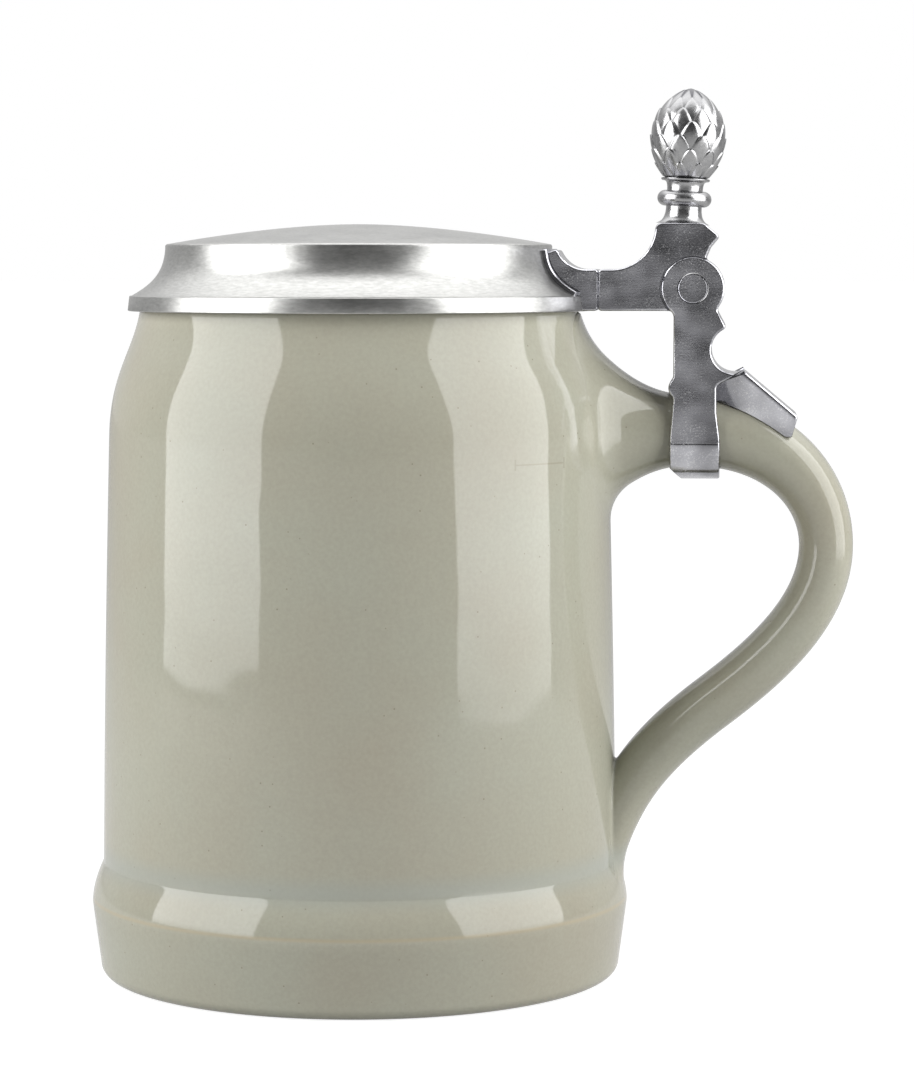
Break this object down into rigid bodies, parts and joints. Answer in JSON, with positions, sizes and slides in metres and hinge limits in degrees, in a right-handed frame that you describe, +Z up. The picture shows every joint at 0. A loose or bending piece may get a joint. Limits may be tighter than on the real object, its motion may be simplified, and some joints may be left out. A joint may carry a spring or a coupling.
{
  "type": "beer stein",
  "caption": "Glazed stoneware beer stein with a banded foot, a loop handle and a domed pewter lid, hinged above the handle and raised by a cone-shaped thumblift.",
  "frame": {"origin": "centre of the flat base, on the mug's axis", "axes": "+Z up along the mug's axis, +X towards the handle and the hinge, +Y along the hinge pin"},
  "size_m": [0.1423, 0.1006, 0.165],
  "materials": {
    "stoneware": "glossy clear salt-grey glaze with fine dark specks",
    "cast_pewter": "as cast, filed and rubbed bright, with a fine grain",
    "spun_pewter": "satin, with the fine rings of spinning",
    "polished_pewter": "polished on the turned parts and the scales"
  },
  "bodies": {
    "mug": {"stein_body": "stoneware", "handle": "stoneware", "hinge_strap": "cast_pewter", "strap_clasp": "cast_pewter", "hinge_pin": "cast_pewter"},
    "lid": {"lid": "spun_pewter", "lid_tang": "cast_pewter", "shank": "cast_pewter", "thumblift": "polished_pewter"}
  },
  "joints": [
    {"name": "lid_hinge", "type": "hinge", "parent": "mug", "child": "lid", "pos_m": [0.0622, 0, 0.1282], "axis": [0, 1, 0], "range_deg": [0, 105]}
  ]
}
